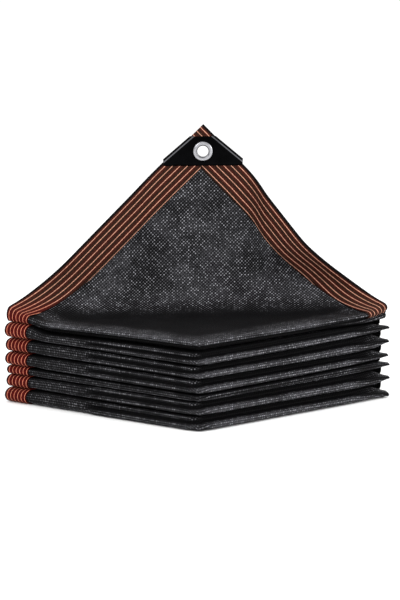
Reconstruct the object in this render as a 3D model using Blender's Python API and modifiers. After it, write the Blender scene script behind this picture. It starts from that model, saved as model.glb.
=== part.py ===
# Folded shade cloth: a knitted net folded back and forth into a square packet of seven leaves,
# with its free back corner pulled upright. A striped binding tape runs along both outer edges,
# and a corner patch carries an eyelet.
# Frame: metres, +Z up, the packet's front corner towards -Y, the eyelet's axis along Y,
# the origin under the middle of the packet, on the surface that it lies on.
# Lengths below are millimetres. u runs from the taped left edge to the front-right side,
# v from the front-left folds to the back-right turns, and n stands out of the net's face.
import math

import bpy
import bmesh
from mathutils import Vector, geometry

MM = 0.001
MERGE = 0.00001
# Grid on which a point of the net is found again by its place, and the sheet filler's tolerance
PLACE_GRID = 0.00005
FILL_TOLERANCE = 0.000001

# Driving sizes
SIDE = 300.0
NET_THICKNESS = 1.2
LEAVES = 7
TOP = LEAVES - 1
PLIES = 2 * LEAVES
TAPE_WIDTH = 34.0
TAPE_THICKNESS = 0.6
CLEARANCE = 0.3
HALF_NET = NET_THICKNESS / 2
TAPE_CENTRE = HALF_NET + CLEARANCE + TAPE_THICKNESS / 2
TAPE_FACE = TAPE_CENTRE + TAPE_THICKNESS / 2

# Half of the distance between two plies' middles, where leaves lie on each other and where a
# leaf's two plies draw together: wider in the taped strip, where four tape legs pass
LYING_TAPED = 1.8
LYING_PLAIN = 0.9
DRAWN_TAPED = 2.2
DRAWN_PLAIN = 1.7
TAPED_TO = TAPE_WIDTH + 2.0
PLAIN_FROM = 60.0

# Heights of the boundaries between the leaves, bottom to top: a row per boundary.
# The first five columns stand along the front-left side, the next three along the front-right.
LEFT_SIDE_AT = (TAPE_WIDTH, 60.0, 130.0, 215.0, SIDE)
RIGHT_SIDE_AT = (0.0, 150.0, 260.0, SIDE)
BOUNDARIES = (
    # left, hollow, step, middle, front, right half, right end, right, back
    (0.0, 0.0, 0.0, 0.0, 0.0, 0.0, 0.0, 0.0, 0.0),
    (16.3, 16.5, 16.0, 15.8, 15.8, 15.5, 14.8, 14.6, 15.5),
    (30.6, 30.8, 31.0, 30.8, 30.6, 31.5, 32.5, 33.2, 32.0),
    (40.6, 39.8, 39.2, 38.5, 37.9, 39.5, 41.5, 42.2, 42.0),
    (55.6, 55.0, 55.0, 54.5, 53.7, 54.0, 54.5, 55.2, 56.0),
    (70.9, 70.5, 70.0, 68.5, 67.4, 69.5, 72.5, 73.8, 72.0),
    (88.5, 80.5, 81.5, 82.0, 82.0, 83.0, 84.0, 84.5, 85.0),
    (97.5, 92.5, 93.5, 94.5, 94.5, 95.0, 96.5, 97.5, 95.5),
)
# Heights where each leaf's two plies draw together at the back-right turns: a row per leaf
DRAWN_TO = (
    # left, right
    (8.0, 5.5),
    (23.4, 22.5),
    (35.6, 37.4),
    (48.0, 47.2),
    (63.2, 63.0),
    (79.0, 78.0),
    (92.5, 88.5),
)

# Folded edges of a leaf in section, from its upper ply to its lower ply: how far out of the
# fold line, and which share of the leaf's height
FOLD_DEPTH = 16.0
FULL_HEIGHT = 12.0
SECTIONS = {
    "round": (
        (-16.0, 1.0), (-9.5, 1.0), (-5.4, 0.96), (-2.3, 0.83), (-0.5, 0.64),
        (0.0, 0.43), (-0.9, 0.23), (-3.0, 0.08), (-6.5, 0.0), (-16.0, 0.0),
    ),
    "double": (
        (-16.0, 1.0), (-7.5, 0.99), (-3.6, 0.9), (-2.4, 0.74), (-4.6, 0.58),
        (-3.4, 0.45), (0.0, 0.36), (0.7, 0.18), (-2.5, 0.02), (-16.0, 0.0),
    ),
    "bead": (
        (-16.0, 1.0), (-11.0, 1.0), (-8.6, 0.92), (-7.6, 0.76), (-8.0, 0.62),
        (-5.0, 0.54), (-1.2, 0.48), (0.6, 0.26), (-2.0, 0.03), (-16.0, 0.0),
    ),
    "tip": (
        (-16.0, 1.0), (-11.0, 0.96), (-7.5, 0.87), (-4.6, 0.77), (-2.2, 0.65),
        (-0.7, 0.53), (0.0, 0.4), (-0.6, 0.25), (-3.5, 0.07), (-16.0, 0.0),
    ),
    "lip": (
        (-16.0, 1.0), (-8.0, 1.0), (-2.5, 0.96), (0.0, 0.82), (-0.8, 0.66),
        (-4.5, 0.6), (-7.5, 0.46), (-7.0, 0.26), (-9.5, 0.05), (-16.0, 0.0),
    ),
    "twoLips": (
        (-16.0, 1.0), (-8.0, 1.0), (-2.5, 0.95), (0.0, 0.8), (-2.0, 0.64),
        (-4.6, 0.53), (-2.7, 0.41), (-1.0, 0.22), (-5.5, 0.02), (-16.0, 0.0),
    ),
}
# Which section each kind of leaf has, along the front-left side (by u) and the front-right (by v)
LEAF_KINDS = {
    "full": {
        "left": ((0.0, "round"), (128.0, "round"), (134.0, "double"), (SIDE, "double")),
        "right": ((0.0, "bead"), (240.0, "bead"), (278.0, "tip"), (SIDE, "tip")),
    },
    "thin": {
        "left": ((0.0, "round"), (SIDE, "round")),
        "right": ((0.0, "round"), (240.0, "round"), (278.0, "tip"), (SIDE, "tip")),
    },
    "top": {
        "left": ((0.0, "round"), (TAPE_WIDTH, "round"), (68.0, "lip"), (SIDE, "lip")),
        "right": ((0.0, "lip"), (200.0, "lip"), (266.0, "twoLips"), (SIDE, "twoLips")),
    },
}
# Each leaf, bottom to top: its kind and how far its folds stand out at three corners
LEAF_TABLE = (
    # kind, left, front, right
    ("full", 1.4, 0.0, -1.0),
    ("full", -1.4, 0.3, 0.0),
    ("thin", -2.4, -0.8, 0.0),
    ("full", 0.0, -0.5, -2.0),
    ("full", -1.2, 0.4, -0.6),
    ("full", 0.0, -1.2, 0.0),
    ("top", -3.2, -2.5, -4.5),
)
# The back-right turns, bottom to top: how far each stands out at its two ends
TURN_TABLE = (
    # left, right
    (0.0, -1.0),
    (0.4, -0.4),
    (-0.3, -1.0),
    (-1.5, 0.0),
    (0.5, -0.8),
    (-1.2, -1.5),
)
# A turn in section: how far before the packet's back side, and how far the ply has drawn over
TURN_ROWS = ((-22.0, 0.0), (-14.0, 0.4), (-8.0, 0.8), (-3.0, 1.0))
TURN_DEPTH = 4.5
TURN_ANGLES = (55.0, 18.0, -18.0, -55.0)
LAST_ROW = SIDE + TURN_ROWS[-1][0]

# Stations: the coarse ones serve the six lower leaves, the fine ones the top leaf
INNER_U = SIDE - FOLD_DEPTH
FIRST_V = FOLD_DEPTH
FINE_STEPS = 15
FINE_PITCH = (INNER_U - TAPE_WIDTH) / FINE_STEPS
COARSE_U = (0.0, TAPE_WIDTH, 60.0, 96.0, 128.0, 134.0, 180.0, 235.0, INNER_U)
FINE_U = (0.0, TAPE_WIDTH / 2) + tuple(TAPE_WIDTH + FINE_PITCH * i for i in range(FINE_STEPS + 1))
TURN_U = (0.0, TAPE_WIDTH, 100.0, 190.0, INNER_U)
BACK_V = tuple(SIDE + row[0] for row in TURN_ROWS)
COARSE_V = (FIRST_V, 70.0, 130.0, 190.0, 240.0) + BACK_V
FINE_V = tuple(FIRST_V + FINE_PITCH * i for i in range(FINE_STEPS + 1)) + BACK_V
CORNER_STEPS = 4
CORNER_ROUNDING = 6.0
# The net's end edge draws in from this place to the right corner
END_DRAWS_FROM = 200.0
# The end tape follows its fold round to this point of the section
END_TAPE_POINTS = 7
# The sharpest corner of the net that a tape's middle still mitres fully
SHARPEST_MITRE = 0.7

# The raised corner: the top ply bends up along the packet's diagonal and leans a little right
BEND_STARTS = 187.0
BEND_RADIUS = 55.0
LEAN = 0.034
# Past the patch its two wings come forward by an angle and draw in by a share, more and more
# between two heights above the packet
WING_FROM = 44.0
WING_EASE = 36.0
WINGS = (
    # angle, draws in, low, high
    (math.radians(8.0), 0.028, 0.0, 60.0),
    (math.radians(25.0), 0.1, 0.0, 84.0),
)
DIAGONAL = SIDE * math.sqrt(2)

# The corner patch, measured down from the net's tip, and the eyelet
PATCH_TOP = 12.5
PATCH_TOP_HALF = 14.5
PATCH_SHOULDER = 37.5
PATCH_BOTTOM = 45.0
PATCH_HALF = 44.0
PATCH_DRAW_IN = 0.5
PATCH_CLOTH = 1.2
POCKET_PAST_PATCH = 10.0
# The net ends inside the bindings this far below its tip, behind the patch and below the eyelet
NET_STOPS = 40.0
CORNER_CUTTER_HALF = 60.0
CORNER_CUTTER_PAST_TIP = 10.0
CORNER_CUTTER_DEPTH = 10.0
CUTTER_DEPTH = 30.0
EYELET_DEPTH = 29.0
BORE_RADIUS = 6.2
BARREL_RADIUS = 6.8
HOLE_RADIUS = BARREL_RADIUS + CLEARANCE
FLANGE_RADIUS = 10.8
FLANGE_HEIGHT = 1.7
WASHER_HEIGHT = 1.0
ROUND_STEPS = 32
# Rounding of the flange: at its mouth (out from the bore, below the face), at its rim (in, below)
MOUTH_ROUNDING = ((0.0, 0.6), (0.7, 0.1), (1.5, 0.0))
RIM_ROUNDING = ((1.6, 0.0), (0.5, 0.6))
# Rounding of the back washer's rim: in, below its face
WASHER_ROUNDING = (1.0, 0.3)


def between(table, x):
    # Piecewise linear value at x in rows of (place, value)
    if x <= table[0][0]:
        return table[0][1]
    for (x0, y0), (x1, y1) in zip(table, table[1:]):
        if x <= x1:
            return y0 + (y1 - y0) * (x - x0) / (x1 - x0)
    return table[-1][1]


def boundary_height(index, u, v):
    # Height of a boundary between leaves, blended over the packet from its two front sides
    row = BOUNDARIES[index]
    left_side = tuple(zip(LEFT_SIDE_AT, row[:5]))
    right_side = tuple(zip(RIGHT_SIDE_AT, (row[4],) + row[5:8]))
    back = row[8]
    s = max(0.0, u - TAPE_WIDTH) / (SIDE - TAPE_WIDTH)
    t = v / SIDE
    right = right_side[-1][1]
    across = (1 - t) * between(left_side, u) + t * (back + (right - back) * s)
    straight = (1 - t) * row[4] + t * right
    return across + s * (between(right_side, v) - straight)


def past_tape(u, taped, plain):
    # A value that changes from the taped strip to the plain net beside it
    return between(((TAPED_TO, taped), (PLAIN_FROM, plain)), u)


def drawn_share(v):
    return between(tuple((SIDE + row[0], row[1]) for row in TURN_ROWS), v)


def drawn_height(leaf, u):
    left, right = DRAWN_TO[leaf]
    s = max(0.0, u - TAPE_WIDTH) / (SIDE - TAPE_WIDTH)
    return left + (right - left) * s


def leaf_of(ply):
    return TOP - ply // 2


def ply_height(ply, u, v):
    # Mid-height of a ply, drawn towards the middle of its leaf as it nears the back-right turns
    leaf = leaf_of(ply)
    upper = ply % 2 == 0
    if ply == 0:
        return boundary_height(leaf + 1, u, v) - HALF_NET
    if ply == PLIES - 1:
        return past_tape(u, TAPE_FACE, HALF_NET)
    side = 1 if upper else -1
    boundary = leaf + 1 if upper else leaf
    lying = boundary_height(boundary, u, v) - side * past_tape(u, LYING_TAPED, LYING_PLAIN)
    drawn = drawn_height(leaf, u) + side * past_tape(u, DRAWN_TAPED, DRAWN_PLAIN)
    return lying + drawn_share(v) * (drawn - lying)


def smooth_step(low, high, x):
    t = min(1.0, max(0.0, (x - low) / (high - low)))
    return t * t * (3 - 2 * t)


def wing(x, rise):
    # How far a point of the raised corner draws in and comes forward
    angle, draws_in, low, high = WINGS[0 if x < 0 else 1]
    past = max(0.0, abs(x) - WING_FROM)
    past *= smooth_step(0.0, WING_EASE, past)
    share = smooth_step(low, high, rise)
    turned = angle * share
    inward = past * (1 - (1 - draws_in * share) * math.cos(turned))
    return math.copysign(inward, x), past * math.sin(turned)


def place(u, v, z, lift=0.0):
    # World position of a point of the packet; lift is the share in which it follows the raised corner
    x = (u + v - SIDE) / math.sqrt(2)
    d = (SIDE - u + v) / math.sqrt(2)
    flat = Vector((x, d - DIAGONAL / 2, z))
    if lift == 0.0 or d <= BEND_STARTS:
        return flat
    turned = min((d - BEND_STARTS) / BEND_RADIUS, math.pi / 2)
    upright = d - BEND_STARTS - turned * BEND_RADIUS
    rise = BEND_RADIUS * (1 - math.cos(turned)) + upright
    below = boundary_height(LEAVES, u, v) - HALF_NET - z
    inward, forward = wing(x, rise)
    bent = Vector((
        x - inward + LEAN * rise,
        BEND_STARTS + (BEND_RADIUS + below) * math.sin(turned) - forward - DIAGONAL / 2,
        z + rise + below * (1 - math.cos(turned)),
    ))
    return flat.lerp(bent, lift)


def end_v(u):
    # The net's end edge draws in a little towards the right corner
    return between(((END_DRAWS_FROM, SIDE), (INNER_U, LAST_ROW)), u)


def ply_point(ply, u, v):
    if ply == 0 and v == LAST_ROW:
        v = end_v(u)
    return place(u, v, ply_height(ply, u, v), 1.0 if ply == 0 else 0.0)


def section_at(stations, x):
    # Blend of two named sections at place x along a side
    for (x0, name0), (x1, name1) in zip(stations, stations[1:]):
        if x <= x1:
            t = max(0.0, (x - x0) / (x1 - x0))
            return blend(SECTIONS[name0], SECTIONS[name1], t)
    return SECTIONS[stations[-1][1]]


def blend(first, second, t):
    return tuple((a + (c - a) * t, b + (d - b) * t) for (a, b), (c, d) in zip(first, second))


def fold(leaf, base, outward, reach, section):
    # One section of a leaf's fold: the points from its upper ply round to its lower ply
    upper_ply = 2 * (TOP - leaf)
    u, v = base
    high = ply_height(upper_ply, u, v)
    low = ply_height(upper_ply + 1, u, v)
    slim = min(1.0, (high - low) / FULL_HEIGHT)
    points = []
    for out, share in section:
        out = -FOLD_DEPTH if out == -FOLD_DEPTH else out * slim
        far = (FOLD_DEPTH + out) * reach
        lift = share if leaf == TOP else 0.0
        z = low + share * (high - low)
        points.append(place(u + outward[0] * far, v + outward[1] * far, z, lift))
    return points


def left_fold(leaf, u):
    kind, left, front, right = LEAF_TABLE[leaf]
    stands = between(((TAPE_WIDTH, left), (SIDE, front)), u)
    section = section_at(LEAF_KINDS[kind]["left"], u)
    return fold(leaf, (u, FIRST_V), (0.0, -1.0), 1 + stands / FOLD_DEPTH, section)


def right_fold(leaf, v):
    kind, left, front, right = LEAF_TABLE[leaf]
    stands = between(((0.0, front), (SIDE, right)), v)
    section = section_at(LEAF_KINDS[kind]["right"], v)
    return fold(leaf, (INNER_U, v), (1.0, 0.0), 1 + stands / FOLD_DEPTH, section)


def corner_folds(leaf):
    # The fan of sections round the front corner, between the two sides
    kind, left, front, right = LEAF_TABLE[leaf]
    sides = LEAF_KINDS[kind]
    first = section_at(sides["left"], SIDE)
    last = section_at(sides["right"], 0.0)
    folds = []
    for i in range(1, CORNER_STEPS):
        t = i / CORNER_STEPS
        angle = t * math.pi / 2
        outward = (math.sin(angle), -math.cos(angle))
        to_square = 1 / max(outward[0], -outward[1])
        rounding = CORNER_ROUNDING * (math.sqrt(2) - 1) * math.sin(2 * angle) / FOLD_DEPTH
        reach = to_square - rounding + front / FOLD_DEPTH
        folds.append(fold(leaf, (INNER_U, FIRST_V), outward, reach, blend(first, last, t)))
    return folds


def turn(upper_ply, u):
    # The back-right turn from a leaf's lower ply to the next leaf's upper ply: an oval cap
    left, right = TURN_TABLE[leaf_of(upper_ply) - 1]
    stands = left + (right - left) * u / SIDE
    before = [ply_point(upper_ply, u, v) for v in BACK_V]
    after = [ply_point(upper_ply + 1, u, v) for v in reversed(BACK_V)]
    middle = (before[-1].z + after[0].z) / 2
    half = (before[-1].z - after[0].z) / 2
    depth = min(half, TURN_DEPTH) + stands
    cap = []
    for degrees in TURN_ANGLES:
        angle = math.radians(degrees)
        cap.append(place(u, LAST_ROW + depth * math.cos(angle), middle + half * math.sin(angle)))
    return before + cap + after


def add_strip(bm, sections, far_side=None):
    # Quads between neighbouring sections, each split from its first section's near corner to its
    # second's far corner, and the other way from the row far_side on, where a tape turns back
    # under the net. So the net and the tapes on it fold along the same lines.
    rows = [[bm.verts.new(p * MM) for p in section] for section in sections]
    for a, b in zip(rows, rows[1:]):
        for i in range(len(a) - 1):
            corners = [a[i], b[i], b[i + 1], a[i + 1]]
            if far_side is not None and i >= far_side:
                corners = corners[1:] + corners[:1]
            for ends in ((0, 1, 2), (0, 2, 3)):
                triangle = [corners[end] for end in ends]
                sides = zip(triangle, triangle[1:] + triangle[:1])
                if min((p.co - q.co).length for p, q in sides) > MERGE:
                    bm.faces.new(triangle)


def add_sheet(bm, ply, outline):
    # A flat ply, filled between the points of its outline
    corners = [Vector(point) for point in outline]
    loop = list(range(len(corners)))
    filled = geometry.delaunay_2d_cdt(corners, [], [loop], 1, FILL_TOLERANCE)
    verts = [bm.verts.new(ply_point(ply, p.x, p.y) * MM) for p in filled[0]]
    for face in filled[2]:
        bm.faces.new([verts[i] for i in face])


def net_surface():
    # The whole net as one open middle surface, from the raised corner down to the last ply
    bm = bmesh.new()
    add_strip(bm, [[ply_point(0, u, v) for v in FINE_V] for u in FINE_U])
    for leaf in range(LEAVES):
        u_stations = FINE_U if leaf == TOP else COARSE_U
        v_stations = FINE_V if leaf == TOP else COARSE_V
        left = [left_fold(leaf, u) for u in u_stations]
        right = [right_fold(leaf, v) for v in v_stations]
        add_strip(bm, left[::-1])
        add_strip(bm, left[-1:] + corner_folds(leaf) + right)
    for ply in range(1, PLIES):
        top_leaf = leaf_of(ply) == TOP
        near = FINE_U if top_leaf else COARSE_U
        side = FINE_V if top_leaf else COARSE_V
        strip = [(u, FIRST_V) for u in near if u <= TAPE_WIDTH]
        add_sheet(bm, ply, strip + [(TAPE_WIDTH, BACK_V[0]), (0.0, BACK_V[0])])
        outline = [(u, FIRST_V) for u in near if u >= TAPE_WIDTH]
        outline += [(INNER_U, v) for v in side if FIRST_V < v <= BACK_V[0]]
        outline += [(u, BACK_V[0]) for u in reversed(TURN_U) if TAPE_WIDTH <= u < INNER_U]
        add_sheet(bm, ply, outline)
    for upper_ply in range(1, PLIES - 1, 2):
        add_strip(bm, [turn(upper_ply, u) for u in reversed(TURN_U)])
    add_strip(bm, [[ply_point(PLIES - 1, u, v) for v in BACK_V] for u in reversed(TURN_U)])
    bmesh.ops.remove_doubles(bm, verts=bm.verts, dist=MERGE)
    bmesh.ops.recalc_face_normals(bm, faces=bm.faces)
    highest = max(bm.verts, key=lambda vert: vert.co.z)
    bm.normal_update()
    if highest.normal.y > 0:
        bmesh.ops.reverse_faces(bm, faces=bm.faces)
        bm.normal_update()
    return bm


def face_normals(bm):
    # The net's normal at each of its points, looked up by place
    return {key(vert.co): vert.normal.copy() for vert in bm.verts}


def key(co):
    return tuple(round(c / PLACE_GRID) for c in co)


def normal_at(normals, point):
    co = point * MM
    near = key(co)
    shifts = [(i, j, k) for i in (0, -1, 1) for j in (0, -1, 1) for k in (0, -1, 1)]
    for shift in shifts:
        found = normals.get(tuple(a + b for a, b in zip(near, shift)))
        if found is not None:
            return found
    return None


def selvedge_route(u):
    # The net's points along the left edge, from under the patch down through every fold
    route = [ply_point(0, u, v) for v in reversed(FINE_V[:FINE_STEPS + 1])]
    for leaf in range(TOP, -1, -1):
        lower_ply = 2 * (TOP - leaf) + 1
        route += left_fold(leaf, u)[1:]
        if leaf > 0:
            route += turn(lower_ply, u)
        else:
            route += [ply_point(lower_ply, u, v) for v in BACK_V]
    return route


def corner_factor(route, i):
    # How much further a tape's middle lies from a point of the net where the net turns
    if i == 0 or i == len(route) - 1:
        return 1.0
    before = (route[i] - route[i - 1]).normalized()
    after = (route[i + 1] - route[i]).normalized()
    return 1 / max(SHARPEST_MITRE, math.sqrt((1 + before.dot(after)) / 2))


def square_to(direction, line, normal):
    # The way most like a direction that is square to a line and to a normal
    square = line.cross(normal).normalized()
    return square if square.dot(direction) > 0 else -square


def binding(bm_net, routes, set_back=0.0):
    # Middle surface of a tape folded over the net's edge. The routes run side by side along the
    # edge, from the innermost to the edge itself; points of a route without a normal of their own
    # take the mean of their neighbours' normals. The first end is set back by the length given.
    normals = face_normals(bm_net)
    found = [[normal_at(normals, p) for p in route] for route in routes]
    for route in routes:
        route[0] = route[0] + (route[1] - route[0]).normalized() * set_back
    bm = bmesh.new()
    sections = []
    for i in range(len(routes[0])):
        points = [route[i] for route in routes]
        sides = [column[i] for column in found]
        for j, side in enumerate(sides):
            if side is None:
                sides[j] = (sides[j - 1] + found[j + 1][i]).normalized()
        sides = [side * corner_factor(route, i) for side, route in zip(sides, routes)]
        along = routes[-1][min(i + 1, len(found[0]) - 1)] - routes[-1][max(i - 1, 0)]
        past_edge = square_to(points[-1] - points[-2], along, sides[-1])
        points[-1] = points[-1] + past_edge * (CLEARANCE + TAPE_THICKNESS / 2)
        front = [p + n * TAPE_CENTRE for p, n in zip(points, sides)]
        back = [p - n * TAPE_CENTRE for p, n in zip(points, sides)]
        sections.append(front + back[::-1])
    add_strip(bm, sections, far_side=len(routes) - 1)
    bmesh.ops.recalc_face_normals(bm, faces=bm.faces)
    return bm


def selvedge_surface(bm_net):
    # It stops short of the end tape, which runs on to the tip
    return binding(bm_net, [selvedge_route(u) for u in (TAPE_WIDTH, TAPE_WIDTH / 2, 0.0)], CLEARANCE)


def end_tape_surface(bm_net):
    # From the raised tip down the end edge to the right corner, and round its fold
    rows = FINE_V[FINE_STEPS:]
    routes = []
    for v in rows:
        route = [ply_point(0, u, v) for u in FINE_U]
        routes.append(route + right_fold(TOP, v)[1:END_TAPE_POINTS])
    return binding(bm_net, routes)


def material(name, colour, roughness, metallic=0.0):
    made = bpy.data.materials.new(name)
    made.use_nodes = True
    shader = made.node_tree.nodes["Principled BSDF"]
    shader.inputs["Base Color"].default_value = (*colour, 1.0)
    shader.inputs["Roughness"].default_value = roughness
    shader.inputs["Metallic"].default_value = metallic
    return made


def add_object(name, bm, collection, surface=None):
    mesh = bpy.data.meshes.new(name)
    bm.to_mesh(mesh)
    bm.free()
    made = bpy.data.objects.new(name, mesh)
    collection.objects.link(made)
    if surface:
        mesh.materials.append(surface)
    return made


def solidify(obj, thickness, even=False):
    shell = obj.modifiers.new("Thickness", "SOLIDIFY")
    shell.thickness = thickness * MM
    shell.offset = 0.0
    shell.use_even_offset = even


def cut(obj, cutter):
    hole = obj.modifiers.new("Cut", "BOOLEAN")
    hole.operation = "DIFFERENCE"
    hole.object = cutter


def tip_point():
    return ply_point(0, 0.0, LAST_ROW)


def outline_plate(name, outline, collection, surface, thickness):
    # A flat outline in the raised corner's plane, given as (across, down) from the net's tip
    tip = tip_point()
    bm = bmesh.new()
    verts = [bm.verts.new(Vector((tip.x + x, tip.y, tip.z - down)) * MM) for x, down in outline]
    bm.faces.new(verts)
    made = add_object(name, bm, collection, surface)
    solidify(made, thickness)
    return made


def make_cutter(made):
    made.hide_render = True
    made.display_type = "WIRE"
    return made


def hole_cutter(collection):
    tip = tip_point()
    bm = bmesh.new()
    bmesh.ops.create_cone(
        bm, cap_ends=True, segments=ROUND_STEPS, radius1=HOLE_RADIUS * MM, radius2=HOLE_RADIUS * MM,
        depth=CUTTER_DEPTH * MM,
    )
    made = add_object("eyelet_hole_cutter", bm, collection)
    made.location = Vector((tip.x, tip.y, tip.z - EYELET_DEPTH)) * MM
    made.rotation_euler = (math.pi / 2, 0.0, 0.0)
    return make_cutter(made)


def patch_outline():
    right = (
        (PATCH_TOP_HALF, PATCH_TOP),
        (PATCH_HALF, PATCH_SHOULDER),
        (PATCH_HALF - PATCH_DRAW_IN, PATCH_BOTTOM),
    )
    left = tuple((-x, down) for x, down in reversed(right))
    return right + left


def pocket_outline():
    # The taped corner of the net with its clearance, running out past the patch's top and bottom
    edge = TAPE_THICKNESS + 2 * CLEARANCE
    grown = edge * math.sqrt(2)
    deep = PATCH_BOTTOM + POCKET_PAST_PATCH
    return ((0.0, -grown), (deep * (1 - LEAN) + grown, deep), (-deep * (1 + LEAN) - grown, deep))


def net_corner_outline():
    top = -CORNER_CUTTER_PAST_TIP
    half = CORNER_CUTTER_HALF
    return ((half, top), (half, NET_STOPS), (-half, NET_STOPS), (-half, top))


def turned_ring(name, profile, collection, surface):
    # A profile of (radius, height along the axis) turned about the eyelet's axis
    tip = tip_point()
    bm = bmesh.new()
    verts = [bm.verts.new(Vector((radius, 0.0, height)) * MM) for radius, height in profile]
    for a, b in zip(verts, verts[1:] + verts[:1]):
        bm.edges.new((a, b))
    made = add_object(name, bm, collection, surface)
    screw = made.modifiers.new("Turned", "SCREW")
    screw.steps = ROUND_STEPS
    screw.render_steps = ROUND_STEPS
    screw.use_merge_vertices = True
    screw.merge_threshold = MERGE
    made.location = Vector((tip.x, tip.y, tip.z - EYELET_DEPTH)) * MM
    made.rotation_euler = (math.pi / 2, 0.0, 0.0)
    return made


def add_eyelet(collection, metal):
    seat = TAPE_FACE + CLEARANCE + PATCH_CLOTH + CLEARANCE
    back_face = seat + WASHER_HEIGHT
    back_end = -(back_face + CLEARANCE)
    face = seat + FLANGE_HEIGHT
    mouth = [(BORE_RADIUS + out, face - below) for out, below in MOUTH_ROUNDING]
    rim = [(FLANGE_RADIUS - inward, face - below) for inward, below in RIM_ROUNDING]
    barrel = [(BARREL_RADIUS, seat), (BARREL_RADIUS, back_end), (BORE_RADIUS, back_end)]
    turned_ring("eyelet_front", [(FLANGE_RADIUS, seat)] + barrel + mouth + rim, collection, metal)
    inward, below = WASHER_ROUNDING
    washer = (
        (FLANGE_RADIUS, below - back_face),
        (FLANGE_RADIUS - inward, -back_face),
        (HOLE_RADIUS, -back_face),
        (HOLE_RADIUS, -seat),
        (FLANGE_RADIUS, -seat),
    )
    turned_ring("eyelet_back", washer, collection, metal)


def build():
    for old in list(bpy.data.objects):
        bpy.data.objects.remove(old)
    parts = bpy.data.collections.new("shade_cloth")
    cutters = bpy.data.collections.new("cutters")
    bpy.context.scene.collection.children.link(parts)
    bpy.context.scene.collection.children.link(cutters)

    net_black = material("net_black", (0.012, 0.012, 0.014), 0.55)
    tape_brown = material("tape_brown", (0.075, 0.016, 0.008), 0.7)
    patch_black = material("patch_black", (0.008, 0.008, 0.009), 0.45)
    eyelet_silver = material("eyelet_silver", (0.78, 0.79, 0.8), 0.28, 1.0)

    hole = hole_cutter(cutters)
    bm_net = net_surface()
    selvedge = add_object("selvedge_tape", selvedge_surface(bm_net), parts, tape_brown)
    solidify(selvedge, TAPE_THICKNESS, even=True)
    end_tape = add_object("end_tape", end_tape_surface(bm_net), parts, tape_brown)
    solidify(end_tape, TAPE_THICKNESS, even=True)
    cut(end_tape, hole)
    net = add_object("net", bm_net, parts, net_black)
    solidify(net, NET_THICKNESS)
    corner = outline_plate(
        "net_corner_cutter", net_corner_outline(), cutters, None, CORNER_CUTTER_DEPTH
    )
    cut(net, make_cutter(corner))

    inside = 2 * (TAPE_FACE + CLEARANCE)
    pocket = make_cutter(outline_plate("patch_pocket_cutter", pocket_outline(), cutters, None, inside))
    patch = outline_plate("corner_patch", patch_outline(), parts, patch_black, inside + 2 * PATCH_CLOTH)
    cut(patch, pocket)
    cut(patch, hole)
    add_eyelet(parts, eyelet_silver)


build()
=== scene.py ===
import math

import bmesh
import bpy
from mathutils import Matrix, Vector


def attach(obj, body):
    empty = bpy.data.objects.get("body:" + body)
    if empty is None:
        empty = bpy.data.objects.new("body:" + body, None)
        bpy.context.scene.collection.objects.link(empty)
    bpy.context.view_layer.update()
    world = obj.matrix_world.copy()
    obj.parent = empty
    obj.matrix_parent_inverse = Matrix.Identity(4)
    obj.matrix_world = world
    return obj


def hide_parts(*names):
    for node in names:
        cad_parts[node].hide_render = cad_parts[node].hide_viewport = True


# A black knitted shade cloth folded into a packet of seven leaves, its free back corner pulled
# upright, bound along two edges with striped tape, with an eyelet in a patch at the corner
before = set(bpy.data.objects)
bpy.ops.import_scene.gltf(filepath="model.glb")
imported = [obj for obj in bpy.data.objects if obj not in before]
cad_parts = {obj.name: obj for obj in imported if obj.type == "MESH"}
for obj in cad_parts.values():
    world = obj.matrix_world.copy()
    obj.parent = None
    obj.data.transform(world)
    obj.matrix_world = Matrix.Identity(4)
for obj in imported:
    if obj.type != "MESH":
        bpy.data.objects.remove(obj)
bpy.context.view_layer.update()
mm = 0.001
tau = 2 * math.pi
print("frame loaded")

# Sizes of the folded net in millimetres. u runs from the taped edge to the front-right side,
# v from the front-left folds to the back-right turns.
packet = {
    "side": 300.0,
    "leaves": 7,
    "halfNet": 0.6,
    "tapeFace": 1.5,
    "foldDepth": 16.0,
    "fullHeight": 12.0,
    "lyingTaped": 1.8,
    "lyingPlain": 0.9,
    "drawnTaped": 2.2,
    "drawnPlain": 1.7,
    "tapedTo": 36.0,
    "plainFrom": 60.0,
    "kneeSoftness": 9.0,
    "cornerRounding": 6.0,
    "endDrawsFrom": 200.0,
    "leftSideAt": (34.0, 60.0, 130.0, 215.0, 300.0),
    "rightSideAt": (0.0, 150.0, 260.0, 300.0),
}
side = packet["side"]
topLeaf = packet["leaves"] - 1
plies = 2 * packet["leaves"]
innerU = side - packet["foldDepth"]
firstV = packet["foldDepth"]
diagonal = side * math.sqrt(2)

# Heights between the leaves, bottom to top
leafBoundaries = (
    # left, hollow, step, middle, front, right half, right end, right, back
    (0.0, 0.0, 0.0, 0.0, 0.0, 0.0, 0.0, 0.0, 0.0),
    (16.3, 16.5, 16.0, 15.8, 15.8, 15.5, 14.8, 14.6, 15.5),
    (30.6, 30.8, 31.0, 30.8, 30.6, 31.5, 32.5, 33.2, 32.0),
    (40.6, 39.8, 39.2, 38.5, 37.9, 39.5, 41.5, 42.2, 42.0),
    (55.6, 55.0, 55.0, 54.5, 53.7, 54.0, 54.5, 55.2, 56.0),
    (70.9, 70.5, 70.0, 68.5, 67.4, 69.5, 72.5, 73.8, 72.0),
    (88.5, 80.5, 81.5, 82.0, 82.0, 83.0, 84.0, 84.5, 85.0),
    (97.5, 92.5, 93.5, 94.5, 94.5, 95.0, 96.5, 97.5, 95.5),
)
# Heights at the back-right turns, left and right, a row per leaf
turnHeights = (
    (8.0, 5.5),
    (23.4, 22.5),
    (35.6, 37.4),
    (48.0, 47.2),
    (63.2, 63.0),
    (79.0, 78.0),
    (92.5, 88.5),
)
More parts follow.
